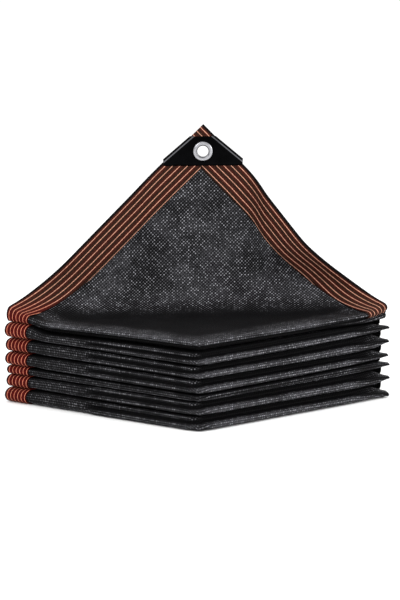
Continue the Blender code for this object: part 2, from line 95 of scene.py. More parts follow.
# Folded edges in section: how far out, the share of the leaf's height, and the net's painted light and
# shade there (painted highlight on ridges, painted shade in recesses)
foldSections = {
    "round": (
        (-16.0, 1.0, 0.1), (-9.5, 1.0, 0.1), (-5.4, 0.96, 0.25), (-2.3, 0.83, 0.4), (-0.5, 0.64, 0.45),
        (0.0, 0.43, 0.4), (-0.9, 0.23, 0.3), (-3.0, 0.08, 1.0), (-6.5, 0.0, 0.05), (-16.0, 0.0, 0.0),
    ),
    "double": (
        (-16.0, 1.0, 0.1), (-7.5, 0.99, 0.2), (-3.6, 0.9, 0.6), (-2.4, 0.74, 0.55), (-5.4, 0.58, 0.05),
        (-4.6, 0.45, 0.05), (-0.2, 0.36, 0.5), (0.7, 0.18, 0.6), (-2.5, 0.02, 0.1), (-16.0, 0.0, 0.0),
    ),
    "bead": (
        (-16.0, 1.0, 0.0), (-14.0, 0.99, 0.0), (-12.5, 0.9, 0.0), (-11.5, 0.74, 0.0), (-11.0, 0.58, 0.02),
        (-5.6, 0.53, 0.35), (-1.2, 0.47, 0.85), (0.6, 0.26, 0.95), (-2.0, 0.03, 0.4), (-16.0, 0.0, 0.0),
    ),
    "tip": (
        (-16.0, 1.0, 0.05), (-11.0, 0.96, 0.3), (-7.5, 0.87, 0.5), (-4.6, 0.77, 0.5), (-2.2, 0.65, 0.45),
        (-0.7, 0.53, 0.2), (0.0, 0.4, 0.15), (-0.6, 0.25, 0.75), (-3.5, 0.07, 0.5), (-16.0, 0.0, 0.0),
    ),
    "lip": (
        (-16.0, 1.0, 0.55), (-8.0, 1.0, 0.6), (-2.5, 0.96, 0.75), (0.0, 0.8, 0.85), (-0.6, 0.6, 0.7),
        (-4.5, 0.5, 0.15), (-9.0, 0.4, 0.0), (-9.0, 0.24, 0.0), (-11.5, 0.05, 0.0), (-16.0, 0.0, 0.0),
    ),
    "twoLips": (
        (-16.0, 1.0, 0.35), (-8.0, 1.0, 0.45), (-2.5, 0.95, 0.6), (0.0, 0.8, 0.7), (-2.0, 0.64, 0.25),
        (-6.0, 0.53, 0.0), (-3.2, 0.41, 0.35), (-1.0, 0.22, 0.65), (-5.5, 0.02, 0.1), (-16.0, 0.0, 0.0),
    ),
}
# Which section a leaf has along its front-left side (by u) and its front-right side (by v)
leafSections = {
    "full": {
        "left": ((0.0, "round"), (128.0, "round"), (134.0, "double"), (side, "double")),
        "right": ((0.0, "bead"), (240.0, "bead"), (278.0, "tip"), (side, "tip")),
    },
    "thin": {
        "left": ((0.0, "round"), (side, "round")),
        "right": ((0.0, "round"), (240.0, "round"), (278.0, "tip"), (side, "tip")),
    },
    "top": {
        "left": ((0.0, "round"), (34.0, "round"), (68.0, "lip"), (side, "lip")),
        "right": ((0.0, "lip"), (200.0, "lip"), (266.0, "twoLips"), (side, "twoLips")),
    },
}
leafTable = (
    # kind, stands out at the left, front and right corner
    ("full", 1.4, 0.0, -1.0),
    ("full", -1.4, 0.3, 0.0),
    ("thin", -2.4, -0.8, 0.0),
    ("full", 0.0, -0.5, -2.0),
    ("full", -1.2, 0.4, -0.6),
    ("full", 0.0, -1.2, 0.0),
    ("top", -3.2, -2.5, -4.5),
)
turnStands = ((0.0, -1.0), (0.4, -0.4), (-0.3, -1.0), (-1.5, 0.0), (0.5, -0.8), (-1.2, -1.5))
turnShape = {
    "rows": ((-22.0, 0.0), (-14.0, 0.4), (-8.0, 0.8), (-3.0, 1.0)),
    "depth": 4.5,
    "steps": 8,
}
backV = [side + out for out, share in turnShape["rows"]]
lastV = backV[-1]
# The raised corner
flap = {
    "bendStarts": 187.0,
    "bendRadius": 55.0,
    "lean": 0.034,
    # the net's painted light and shade: where the painted glints on the raised part start, how wide the
    # painted highlight along the front edge is, and how bright the middle in painted shade, the raised
    # part and the edge are
    "glitters": (200.0, 232.0),
    "brightEdge": (22.0, 58.0),
    "shadedMiddleTone": 0.2,
    "raisedTone": 0.65,
    "edgeTone": 0.45,
    "wingFrom": 44.0,
    "wingEase": 36.0,
    # each wing comes forward by an angle and draws in by a share, between two heights
    "leftWing": (math.radians(8.0), 0.028, 0.0, 60.0),
    "rightWing": (math.radians(25.0), 0.1, 0.0, 84.0),
}


def between(table, x):
    # straight between the rows of (place, value)
    if x <= table[0][0]:
        return table[0][1]
    for (x0, y0), (x1, y1) in zip(table, table[1:]):
        if x <= x1:
            return y0 + (y1 - y0) * (x - x0) / (x1 - x0)
    return table[-1][1]


def softBetween(table, x):
    # the same with its knees rounded off
    soft = packet["kneeSoftness"]
    spread = ((-soft, 1), (-soft / 2, 2), (0.0, 2), (soft / 2, 2), (soft, 1))
    return sum(between(table, x + shift) * weight for shift, weight in spread) / 8


def smoothStep(low, high, x):
    t = min(1.0, max(0.0, (x - low) / (high - low)))
    return t * t * (3 - 2 * t)


def boundaryHeight(index, u, v):
    row = leafBoundaries[index]
    leftSide = tuple(zip(packet["leftSideAt"], row[:5]))
    rightSide = tuple(zip(packet["rightSideAt"], (row[4],) + row[5:8]))
    back = row[8]
    tapeEdge = packet["leftSideAt"][0]
    s = max(0.0, u - tapeEdge) / (side - tapeEdge)
    t = v / side
    right = rightSide[-1][1]
    across = (1 - t) * softBetween(leftSide, u) + t * (back + (right - back) * s)
    straight = (1 - t) * row[4] + t * right
    return across + s * (softBetween(rightSide, v) - straight)


def pastTape(u, taped, plain):
    return between(((packet["tapedTo"], taped), (packet["plainFrom"], plain)), u)


def leafOf(ply):
    return topLeaf - ply // 2


def plyHeight(ply, u, v):
    # mid-height of a ply, drawn towards the middle of its leaf near the back-right turns
    leaf = leafOf(ply)
    if ply == 0:
        return boundaryHeight(leaf + 1, u, v) - packet["halfNet"]
    if ply == plies - 1:
        return pastTape(u, packet["tapeFace"], packet["halfNet"])
    up = 1 if ply % 2 == 0 else -1
    boundary = leaf + 1 if up > 0 else leaf
    lying = boundaryHeight(boundary, u, v) - up * pastTape(u, packet["lyingTaped"], packet["lyingPlain"])
    left, right = turnHeights[leaf]
    tapeEdge = packet["leftSideAt"][0]
    s = max(0.0, u - tapeEdge) / (side - tapeEdge)
    drawn = left + (right - left) * s + up * pastTape(u, packet["drawnTaped"], packet["drawnPlain"])
    share = between(tuple((side + out, part) for out, part in turnShape["rows"]), v)
    return lying + share * (drawn - lying)


def wing(x, rise):
    # how far a point of the raised corner draws in and comes forward
    angle, drawsIn, low, high = flap["leftWing" if x < 0 else "rightWing"]
    past = max(0.0, abs(x) - flap["wingFrom"])
    past *= smoothStep(0.0, flap["wingEase"], past)
    share = smoothStep(low, high, rise)
    turned = angle * share
    inward = past * (1 - (1 - drawsIn * share) * math.cos(turned))
    return math.copysign(inward, x), past * math.sin(turned)


def place(u, v, z, lift=0.0):
    # a point of the packet in millimetres; lift is the share in which it follows the raised corner
    x = (u + v - side) / math.sqrt(2)
    d = (side - u + v) / math.sqrt(2)
    flat = Vector((x, d - diagonal / 2, z))
    starts = flap["bendStarts"]
    radius = flap["bendRadius"]
    if lift == 0.0 or d <= starts:
        return flat
    turned = min((d - starts) / radius, math.pi / 2)
    rise = radius * (1 - math.cos(turned)) + d - starts - turned * radius
    below = boundaryHeight(packet["leaves"], u, v) - packet["halfNet"] - z
    inward, forward = wing(x, rise)
    bent = Vector((
        x - inward + flap["lean"] * rise,
        starts + (radius + below) * math.sin(turned) - forward - diagonal / 2,
        z + rise + below * (1 - math.cos(turned)),
    ))
    return flat.lerp(bent, lift)


def plyPoint(ply, u, v):
    if ply == 0 and v == lastV:
        v = between(((packet["endDrawsFrom"], side), (innerU, lastV)), u)
    return place(u, v, plyHeight(ply, u, v), 1.0 if ply == 0 else 0.0)


def blendSections(first, second, t):
    return tuple(tuple(a + (b - a) * t for a, b in zip(*rows)) for rows in zip(first, second))


def sectionAt(stations, x):
    for (x0, name0), (x1, name1) in zip(stations, stations[1:]):
        if x <= x1:
            t = max(0.0, (x - x0) / (x1 - x0))
            return blendSections(foldSections[name0], foldSections[name1], t)
    return foldSections[stations[-1][1]]


def smoothLine(points, perSpan):
    # a curve through all the points
    line = []
    for i in range(len(points) - 1):
        p0 = points[max(0, i - 1)]
        p1 = points[i]
        p2 = points[i + 1]
        p3 = points[min(len(points) - 1, i + 2)]
        for k in range(perSpan):
            t = k / perSpan
            line.append(0.5 * (
                2 * p1 + (p2 - p0) * t
                + (2 * p0 - 5 * p1 + 4 * p2 - p3) * t * t
                + (3 * p1 - p0 - 3 * p2 + p3) * t ** 3
            ))
    return line + [points[-1]]


def foldLine(leaf, base, outward, reach, section):
    # a leaf's fold in section, from its upper ply round to its lower ply
    u, v = base
    upperPly = 2 * (topLeaf - leaf)
    high = plyHeight(upperPly, u, v)
    low = plyHeight(upperPly + 1, u, v)
    depth = packet["foldDepth"]
    slim = min(1.0, (high - low) / packet["fullHeight"])
    points = []
    for out, share in (row[:2] for row in section):
        out = -depth if out == -depth else out * slim
        far = (depth + out) * reach
        z = low + share * (high - low)
        lift = share if leaf == topLeaf else 0.0
        points.append(place(u + outward[0] * far, v + outward[1] * far, z, lift))
    return smoothLine(points, 2)


def toneLine(section):
    # the net's painted light and shade at each point of a fold's line
    tones = [row[2] for row in section]
    line = []
    for a, b in zip(tones, tones[1:]):
        line += [a, (a + b) / 2]
    return line + [tones[-1]]


def topTone(u, v):
    # the top ply has a painted highlight near its front edges and on the raised corner, and painted shade
    # between them
    d = (side - u + v) / math.sqrt(2)
    near = min(v, side - u)
    low, high = flap["glitters"]
    edgeLow, edgeHigh = flap["brightEdge"]
    raised = smoothStep(low, high, d)
    edge = flap["edgeTone"] * (1 - smoothStep(edgeLow, edgeHigh, near))
    middle = flap["shadedMiddleTone"] + (flap["raisedTone"] - flap["shadedMiddleTone"]) * raised
    return max(middle, edge)


def leftFold(leaf, u):
    kind, left, front = leafTable[leaf][:3]
    stands = between(((packet["leftSideAt"][0], left), (side, front)), u)
    section = sectionAt(leafSections[kind]["left"], u)
    return foldLine(leaf, (u, firstV), (0.0, -1.0), 1 + stands / packet["foldDepth"], section)


def rightFold(leaf, v):
    kind, _, front, right = leafTable[leaf]
    stands = between(((0.0, front), (side, right)), v)
    section = sectionAt(leafSections[kind]["right"], v)
    return foldLine(leaf, (innerU, v), (1.0, 0.0), 1 + stands / packet["foldDepth"], section)


def cornerFolds(leaf, steps):
    # the fold's lines round the front corner, each with its way out and its brightness
    kind, _, front = leafTable[leaf][:3]
    first = sectionAt(leafSections[kind]["left"], side)
    last = sectionAt(leafSections[kind]["right"], 0.0)
    depth = packet["foldDepth"]
    folds = []
    for i in range(1, steps):
        t = i / steps
        angle = t * math.pi / 2
        outward = (math.sin(angle), -math.cos(angle))
        rounding = packet["cornerRounding"] * (math.sqrt(2) - 1) * math.sin(2 * angle) / depth
        reach = 1 / max(outward[0], -outward[1]) - rounding + front / depth
        section = blendSections(first, last, t)
        line = foldLine(leaf, (innerU, firstV), outward, reach, section)
        folds.append((outward, line, toneLine(section)))
    return folds


def turnLine(upperPly, u):
    # the back-right turn from a leaf's lower ply to the next leaf's upper ply
    left, right = turnStands[leafOf(upperPly) - 1]
    stands = left + (right - left) * u / side
    before = [plyPoint(upperPly, u, v) for v in backV]
    after = [plyPoint(upperPly + 1, u, v) for v in reversed(backV)]
    middle = (before[-1].z + after[0].z) / 2
    half = (before[-1].z - after[0].z) / 2
    depth = min(half, turnShape["depth"]) + stands
    cap = []
    for i in range(1, turnShape["steps"]):
        angle = math.pi / 2 - math.pi * i / turnShape["steps"]
        cap.append(place(u, lastV + depth * math.cos(angle), middle + half * math.sin(angle)))
    return before + cap + after


def spaced(low, high, pitch):
    # even places from low to high, about the pitch apart
    count = max(1, round((high - low) / pitch))
    return [low + (high - low) * i / count for i in range(count + 1)]


def lengthAlong(line):
    run = [0.0]
    for a, b in zip(line, line[1:]):
        run.append(run[-1] + (b - a).length)
    return run


def addGrid(bm, uvLayer, rows, uvRows, toneLayer=None, tones=None):
    # quads between rows of points in millimetres, each with its place on the flat cloth and, on the net,
    # its painted light and shade
    made = [[bm.verts.new(point * mm) for point in row] for row in rows]
    for i in range(len(made) - 1):
        for j in range(len(made[i]) - 1):
            corners = ((i, j), (i, j + 1), (i + 1, j + 1), (i + 1, j))
            face = bm.faces.new([made[a][b] for a, b in corners])
            for loop, (a, b) in zip(face.loops, corners):
                loop[uvLayer].uv = (uvRows[a][b][0] * mm, uvRows[a][b][1] * mm)
                if toneLayer:
                    loop[toneLayer].uv = (tones[a][b], 0.0)


def finishMesh(name, bm, material):
    bm.normal_update()
    mesh = bpy.data.meshes.new(name)
    bm.to_mesh(mesh)
    bm.free()
    mesh.shade_smooth()
    mesh.materials.append(material)
    piece = bpy.data.objects.new(name, mesh)
    bpy.context.scene.collection.objects.link(piece)
    return piece


def joinNodes(tree, fromSocket, toSocket):
    tree.links.new(fromSocket, toSocket)


def mathNode(tree, operation, *values):
    # a Math node fed with sockets or numbers
    node = tree.nodes.new("ShaderNodeMath")
    node.operation = operation
    for socket, value in zip(node.inputs, values):
        if isinstance(value, (int, float)):
            socket.default_value = value
        else:
            joinNodes(tree, value, socket)
    return node.outputs[0]


def mixColours(tree, factor, first, second, blend="MIX"):
    node = tree.nodes.new("ShaderNodeMix")
    node.data_type = "RGBA"
    node.blend_type = blend
    for socket, value in zip((node.inputs[0], node.inputs[6], node.inputs[7]), (factor, first, second)):
        if isinstance(value, (int, float)):
            socket.default_value = value
        elif isinstance(value, tuple):
            socket.default_value = (*value, 1.0)
        else:
            joinNodes(tree, value, socket)
    return node.outputs[2]


def mapRange(tree, value, fromLow, fromHigh, toLow=0.0, toHigh=1.0):
    node = tree.nodes.new("ShaderNodeMapRange")
    node.interpolation_type = "SMOOTHSTEP"
    joinNodes(tree, value, node.inputs["Value"])
    node.inputs["From Min"].default_value = fromLow
    node.inputs["From Max"].default_value = fromHigh
    node.inputs["To Min"].default_value = toLow
    node.inputs["To Max"].default_value = toHigh
    return node.outputs["Result"]


def newGroup(name, inputs, outputs):
    # an empty shader group with its sockets, and its input and output nodes
    group = bpy.data.node_groups.new(name, "ShaderNodeTree")
    for label, kind, value in inputs:
        socket = group.interface.new_socket(label, in_out="INPUT", socket_type=kind)
        if value is not None:
            socket.default_value = value
    for label, kind in outputs:
        group.interface.new_socket(label, in_out="OUTPUT", socket_type=kind)
    return group, group.nodes.new("NodeGroupInput"), group.nodes.new("NodeGroupOutput")


def placeGroup(tree, group, vector, **values):
    node = tree.nodes.new("ShaderNodeGroup")
    node.node_tree = group
    joinNodes(tree, vector, node.inputs["Vector"])
    for label, value in values.items():
        node.inputs[label].default_value = value
    return node


def newMaterial(name):
    material = bpy.data.materials.new(name)
    material.use_nodes = True
    tree = material.node_tree
    return material, tree, tree.nodes["Principled BSDF"]


def clothPlace(tree):
    # the place on the flat cloth, in metres
    node = tree.nodes.new("ShaderNodeUVMap")
    node.uv_map = "cloth"
    return node.outputs["UV"]


def worldPlace(tree):
    return tree.nodes.new("ShaderNodeTexCoord").outputs["Object"]


def noiseNode(tree, vector, scale, detail=2.0, roughness=0.5):
    node = tree.nodes.new("ShaderNodeTexNoise")
    joinNodes(tree, vector, node.inputs["Vector"])
    node.inputs["Scale"].default_value = scale
    node.inputs["Detail"].default_value = detail
    node.inputs["Roughness"].default_value = roughness
    return node


def bumpNode(tree, height, distance, strength=1.0):
    node = tree.nodes.new("ShaderNodeBump")
    node.inputs["Strength"].default_value = strength
    node.inputs["Distance"].default_value = distance
    joinNodes(tree, height, node.inputs["Height"])
    return node.outputs["Normal"]


knitLook = {
    # how the rows wander, and what part of a stitch its chain, loop and laid tape take up
    "wanderScale": 45.0,
    "chain": (0.15, 0.95),
    "loop": (0.05, 0.8),
    "laid": (0.1, 0.26),
    "laidHeight": 0.55,
    "tilt": 2.0,
    "tiltHeight": 0.15,
    # few stitches glint strongly, and each only on its crown
    "sparkPower": 2.6,
    "sparkMost": 0.5,
    "sparkLeast": 0.07,
    "crown": (0.25, 0.75),
}


def ripple(tree, cycles):
    # a wave from 0 to 1 that is at its top at each whole cycle
    wave = mathNode(tree, "COSINE", mathNode(tree, "MULTIPLY", cycles, tau))
    return mathNode(tree, "MULTIPLY_ADD", wave, 0.5, 0.5)


def splitPlace(tree, vector):
    node = tree.nodes.new("ShaderNodeSeparateXYZ")
    joinNodes(tree, vector, node.inputs[0])
    return node.outputs


def makeKnitGroup():
    # stitch loops in chains with flat tapes laid zigzag between them, holes left open and dark
    group, given, out = newGroup(
        "knitNet",
        (
            ("Vector", "NodeSocketVector", None),
            ("Wale", "NodeSocketFloat", 0.0036),
            ("Course", "NodeSocketFloat", 0.0036),
            ("Unevenness", "NodeSocketFloat", 0.25),
        ),
        (("Strand", "NodeSocketFloat"), ("Height", "NodeSocketFloat"), ("Glint", "NodeSocketFloat")),
    )
    wander = noiseNode(group, given.outputs["Vector"], knitLook["wanderScale"])
    shift = splitPlace(group, wander.outputs["Color"])
    flat = splitPlace(group, given.outputs["Vector"])
    amount = given.outputs["Unevenness"]
    across = mathNode(group, "DIVIDE", flat[0], given.outputs["Wale"])
    across = mathNode(group, "MULTIPLY_ADD", shift[0], amount, across)
    along = mathNode(group, "DIVIDE", flat[1], given.outputs["Course"])
    along = mathNode(group, "MULTIPLY_ADD", shift[1], amount, along)
    chain = mapRange(group, ripple(group, across), *knitLook["chain"])
    loop = mapRange(group, ripple(group, along), *knitLook["loop"])
    knot = mathNode(group, "MULTIPLY", chain, loop)
    half = mathNode(group, "MULTIPLY", along, 0.5)
    zigzag = mathNode(group, "PINGPONG", mathNode(group, "ADD", half, 0.25), 0.5)
    zigzag = mathNode(group, "MULTIPLY", zigzag, 2.0)
    lag = mathNode(group, "SUBTRACT", across, zigzag)
    lag = mathNode(group, "FRACT", mathNode(group, "ADD", lag, 0.5))
    lag = mathNode(group, "ABSOLUTE", mathNode(group, "SUBTRACT", lag, 0.5))
    laid = mapRange(group, lag, *knitLook["laid"], 1.0, 0.0)
    cell = group.nodes.new("ShaderNodeCombineXYZ")
    joinNodes(group, mathNode(group, "FLOOR", mathNode(group, "ADD", across, 0.5)), cell.inputs[0])
    joinNodes(group, mathNode(group, "FLOOR", mathNode(group, "ADD", along, 0.5)), cell.inputs[1])
    chance = group.nodes.new("ShaderNodeTexWhiteNoise")
    chance.noise_dimensions = "2D"
    joinNodes(group, cell.outputs[0], chance.inputs["Vector"])
    each = group.nodes.new("ShaderNodeSeparateColor")
    joinNodes(group, chance.outputs["Color"], each.inputs[0])
    strand = mathNode(group, "MAXIMUM", knot, mathNode(group, "MULTIPLY", laid, knitLook["laidHeight"]))
    tilt = mathNode(group, "MULTIPLY", mathNode(group, "SUBTRACT", each.outputs[0], 0.5), across)
    tilt = mathNode(group, "SINE", mathNode(group, "MULTIPLY", tilt, knitLook["tilt"]))
    height = mathNode(group, "MULTIPLY_ADD", tilt, knitLook["tiltHeight"], strand)
    spark = mathNode(group, "POWER", each.outputs[1], knitLook["sparkPower"])
    spark = mathNode(group, "MULTIPLY_ADD", spark, knitLook["sparkMost"], knitLook["sparkLeast"])
    glint = mathNode(group, "MULTIPLY", spark, mapRange(group, knot, *knitLook["crown"]))
    joinNodes(group, strand, out.inputs["Strand"])
    joinNodes(group, height, out.inputs["Height"])
    joinNodes(group, glint, out.inputs["Glint"])
    return group


weaveLook = {"rib": 0.0009, "yarn": 0.0007, "ribHeight": 0.5, "yarnHeight": 0.3, "slubScale": 420.0}


def makeWeaveGroup():
    # the fine ribs of a woven tape, with slubs
    group, given, out = newGroup(
        "tapeWeave",
        (
            ("Vector", "NodeSocketVector", None),
            ("Rib", "NodeSocketFloat", weaveLook["rib"]),
            ("Yarn", "NodeSocketFloat", weaveLook["yarn"]),
        ),
        (("Height", "NodeSocketFloat"), ("Slub", "NodeSocketFloat")),
    )
    flat = splitPlace(group, given.outputs["Vector"])
    across = mathNode(group, "DIVIDE", flat[0], given.outputs["Yarn"])
    across = mathNode(group, "MULTIPLY", across, tau)
    along = mathNode(group, "DIVIDE", flat[1], given.outputs["Rib"])
    along = mathNode(group, "MULTIPLY", along, tau)
    high = weaveLook["ribHeight"]
    ribs = mathNode(group, "MULTIPLY_ADD", mathNode(group, "SINE", along), high, high)
    high = weaveLook["yarnHeight"]
    yarns = mathNode(group, "MULTIPLY_ADD", mathNode(group, "SINE", across), high, high)
    slub = noiseNode(group, given.outputs["Vector"], weaveLook["slubScale"], 3.0)
    joinNodes(group, mathNode(group, "ADD", ribs, yarns), out.inputs["Height"])
    joinNodes(group, slub.outputs["Fac"], out.inputs["Slub"])
    return group


knitGroup = makeKnitGroup()
weaveGroup = makeWeaveGroup()

netLook = {
    "hole": (0.0015, 0.0015, 0.0017),
    "strand": (0.0125, 0.0118, 0.0132),
    # painted highlight colour for the lit ridges, broken up by grain
    "sheenAndWear": (0.066, 0.065, 0.072),
    "glint": (0.52, 0.52, 0.56),
    "pitch": 0.0027,
    "roughness": (0.75, 0.5),
    "specular": 0.05,
    "raised": 0.0007,
    # clouds make whole areas a little duller or brighter, grain breaks up the painted highlights on the
    # ridges
    "cloudScale": 30.0,
    "cloudRange": (0.25, 0.75, 0.7, 1.25),
    "grainScale": 900.0,
    "grainRange": (0.35, 0.65),
    # ranges of painted brightness in which strands fade into painted shade in a recess, ridges get a
    # painted highlight and stitches painted glints
    "recess": (0.0, 0.6, 0.3, 1.0),
    "ridgeHighlight": (0.45, 1.0),
    "glinting": (0.18, 0.62),
}


def makeNetMaterial():
    material, tree, shader = newMaterial("net_knit")
    knit = placeGroup(tree, knitGroup, clothPlace(tree), Wale=netLook["pitch"], Course=netLook["pitch"])
    # the tone map holds painted light and shade: lit ridges and raised corner, shaded recesses and inner
    # plies
    tone = tree.nodes.new("ShaderNodeUVMap")
    tone.uv_map = "tone"
    level = splitPlace(tree, tone.outputs["UV"])[0]
    cloud = noiseNode(tree, worldPlace(tree), netLook["cloudScale"], 4.0).outputs["Fac"]
    grain = noiseNode(tree, worldPlace(tree), netLook["grainScale"], 2.0).outputs["Fac"]
    lit = mathNode(tree, "MULTIPLY", level, mapRange(tree, cloud, *netLook["cloudRange"]))
    # strands fade into the dark holes where the tone map paints shade
    shown = mapRange(tree, lit, *netLook["recess"])
    strand = mathNode(tree, "MULTIPLY", knit.outputs["Strand"], shown)
    body = mixColours(tree, strand, netLook["hole"], netLook["strand"])
    # painted highlight on the lit ridges, broken up by grain
    patchy = mapRange(tree, grain, *netLook["grainRange"])
    paintedRidgeHighlight = mathNode(tree, "MULTIPLY", mapRange(tree, lit, *netLook["ridgeHighlight"]), patchy)
    body = mixColours(tree, paintedRidgeHighlight, body, netLook["sheenAndWear"])
    # painted glints on stitches where the tone map is lit
    glinting = mapRange(tree, lit, *netLook["glinting"])
    glint = mathNode(tree, "MULTIPLY", knit.outputs["Glint"], glinting)
    body = mixColours(tree, glint, body, netLook["glint"])
    joinNodes(tree, body, shader.inputs["Base Color"])
    sheenAndWear = mapRange(tree, knit.outputs["Strand"], 0.0, 1.0, *netLook["roughness"])
    joinNodes(tree, sheenAndWear, shader.inputs["Roughness"])
    shader.inputs["Specular IOR Level"].default_value = netLook["specular"]
    raised = bumpNode(tree, knit.outputs["Height"], netLook["raised"])
    joinNodes(tree, raised, shader.inputs["Normal"])
    return material


tapeLook = {
    "firstStripe": 0.0036,
    "stripePitch": 0.0057,
    "stripeHalf": 0.0003,
    "foldedNarrower": 0.006,
    "stripes": 6,
    "edge": (0.003, 0.002, 0.002),
    "dark": (0.025, 0.0105, 0.0065),
    "red": (0.045, 0.0095, 0.0062),
    # painted light: the same tape is painted brighter and redder where it lies folded
    "foldedDark": (0.055, 0.0024, 0.0016),
    "foldedRed": (0.075, 0.0026, 0.002),
    "stripe": (0.7, 0.34, 0.23),
    "foldedStripe": (0.9, 0.3, 0.18),
    # heights between which the tape lies folded and stands up, and how far right its folds are painted
    # red
    "folded": (0.092, 0.116),
    "redTo": (-0.1, 0.0),
    "roughness": 0.8,
    "specular": 0.06,
    # a stripe fades between these shares of its half width
    "stripeFade": (0.5, 1.7),
    "redRange": (-0.6, 0.9),
    "borderRange": (0.0008, 0.0018),
    "slubRange": (0.2, 0.8, 0.6, 1.3),
    "stripeHeight": 0.8,
    "raised": 0.0002,
}


def makeTapeMaterial():
    material, tree, shader = newMaterial("tape_stripes")
    fromEdge = splitPlace(tree, clothPlace(tree))[0]
    stands = splitPlace(tree, worldPlace(tree))
    lying = mapRange(tree, stands[2], *tapeLook["folded"], 1.0, 0.0)
    leftSide = mapRange(tree, stands[0], *tapeLook["redTo"], 1.0, 0.0)
    folded = mathNode(tree, "MULTIPLY", lying, leftSide)
    # distance across the tape, in stripes
    across = mathNode(tree, "SUBTRACT", fromEdge, tapeLook["firstStripe"])
    across = mathNode(tree, "DIVIDE", across, tapeLook["stripePitch"])
    nearest = mathNode(tree, "ROUND", across)
    nearest = mathNode(tree, "MAXIMUM", nearest, 0.0)
    nearest = mathNode(tree, "MINIMUM", nearest, tapeLook["stripes"] - 1.0)
    off = mathNode(tree, "ABSOLUTE", mathNode(tree, "SUBTRACT", across, nearest))
    off = mathNode(tree, "ADD", off, mathNode(tree, "MULTIPLY", folded, tapeLook["foldedNarrower"]))
    half = tapeLook["stripeHalf"] / tapeLook["stripePitch"]
    full, gone = tapeLook["stripeFade"]
    stripe = mapRange(tree, off, half * full, half * gone, 1.0, 0.0)
    weave = placeGroup(tree, weaveGroup, clothPlace(tree))
    # the ground is redder beside every other stripe
    pairs = mathNode(tree, "COSINE", mathNode(tree, "MULTIPLY", across, math.pi))
    pairs = mapRange(tree, pairs, *tapeLook["redRange"])
    # painted light: brighter, redder colours where the tape lies folded
    dark = mixColours(tree, folded, tapeLook["dark"], tapeLook["foldedDark"])
    red = mixColours(tree, folded, tapeLook["red"], tapeLook["foldedRed"])
    ground = mixColours(tree, pairs, dark, red)
    border = mapRange(tree, fromEdge, *tapeLook["borderRange"])
    ground = mixColours(tree, border, tapeLook["edge"], ground)
    thread = mixColours(tree, folded, tapeLook["stripe"], tapeLook["foldedStripe"])
    colour = mixColours(tree, stripe, ground, thread)
    shade = mapRange(tree, weave.outputs["Slub"], *tapeLook["slubRange"])
    colour = mixColours(tree, 1.0, colour, shade, "MULTIPLY")
    joinNodes(tree, colour, shader.inputs["Base Color"])
    shader.inputs["Roughness"].default_value = tapeLook["roughness"]
    shader.inputs["Specular IOR Level"].default_value = tapeLook["specular"]
    raised = mathNode(tree, "MULTIPLY_ADD", stripe, tapeLook["stripeHeight"], weave.outputs["Height"])
    joinNodes(tree, bumpNode(tree, raised, tapeLook["raised"]), shader.inputs["Normal"])
    return material


patchLook = {
    "dark": (0.0003, 0.0003, 0.0004),
    "cloud": (0.0012, 0.0012, 0.0015),
    # painted highlight colour of the pressed seam
    "seamHighlight": (0.11, 0.11, 0.118),
    # the pressed seam along the slanted edges, with a painted highlight along it: the edge's way out, and
    # how far from the eyelet
    "seamWay": (0.6465, 0.7629),
    "seamFar": (0.0182, 0.0189, 0.0193, 0.0201),
    "specular": 0.02,
    "grainScale": 900.0,
    "grainHeight": 0.00008,
    "cloudScale": 60.0,
    "cloudRange": (0.35, 0.75),
    # clouds break up the painted seam highlight
    "seamHighlightBreaks": (0.3, 0.6, 0.55, 1.0),
    "roughness": (0.2, 0.8, 0.4, 0.55),
}


def makePatchMaterial():
    material, tree, shader = newMaterial("patch_coated")
    grain = noiseNode(tree, worldPlace(tree), patchLook["grainScale"], 3.0).outputs["Fac"]
    cloud = noiseNode(tree, worldPlace(tree), patchLook["cloudScale"], 3.0).outputs["Fac"]
    clouded = mapRange(tree, cloud, *patchLook["cloudRange"])
    colour = mixColours(tree, clouded, patchLook["dark"], patchLook["cloud"])
    # painted highlight on the pressed seam inside the slanted edges, broken up by clouds
    flat = splitPlace(tree, clothPlace(tree))
    wayAcross, wayUp = patchLook["seamWay"]
    out = mathNode(tree, "MULTIPLY", mathNode(tree, "ABSOLUTE", flat[0]), wayAcross)
    out = mathNode(tree, "MULTIPLY_ADD", flat[1], wayUp, out)
    starts, full, ends, gone = patchLook["seamFar"]
    rising = mapRange(tree, out, starts, full)
    falling = mapRange(tree, out, ends, gone, 1.0, 0.0)
    seamHighlight = mathNode(tree, "MULTIPLY", rising, falling)
    seamHighlight = mathNode(tree, "MULTIPLY", seamHighlight, mapRange(tree, cloud, *patchLook["seamHighlightBreaks"]))
    colour = mixColours(tree, seamHighlight, colour, patchLook["seamHighlight"])
    joinNodes(tree, colour, shader.inputs["Base Color"])
    joinNodes(tree, mapRange(tree, cloud, *patchLook["roughness"]), shader.inputs["Roughness"])
    shader.inputs["Specular IOR Level"].default_value = patchLook["specular"]
    joinNodes(tree, bumpNode(tree, grain, patchLook["grainHeight"]), shader.inputs["Normal"])
    return material


metalLook = {
    # colours of the ring's painted highlight and painted shade
    "bright": (0.4, 0.4, 0.42),
    "shadedMetal": (0.07, 0.07, 0.075),
    # radii between which the ring has painted shade at its mouth, a painted highlight on its crown and
    # painted shade at its rim
    "mouth": (0.0064, 0.0084),
    "rim": (0.0092, 0.0112),
    "rimLeft": 0.25,
    "scratchScale": 500.0,
    "roughness": (0.3, 0.7, 0.22, 0.36),
    # scratches break up the painted highlight
    "sheenAndWear": (0.3, 0.7, 0.85, 1.0),
}


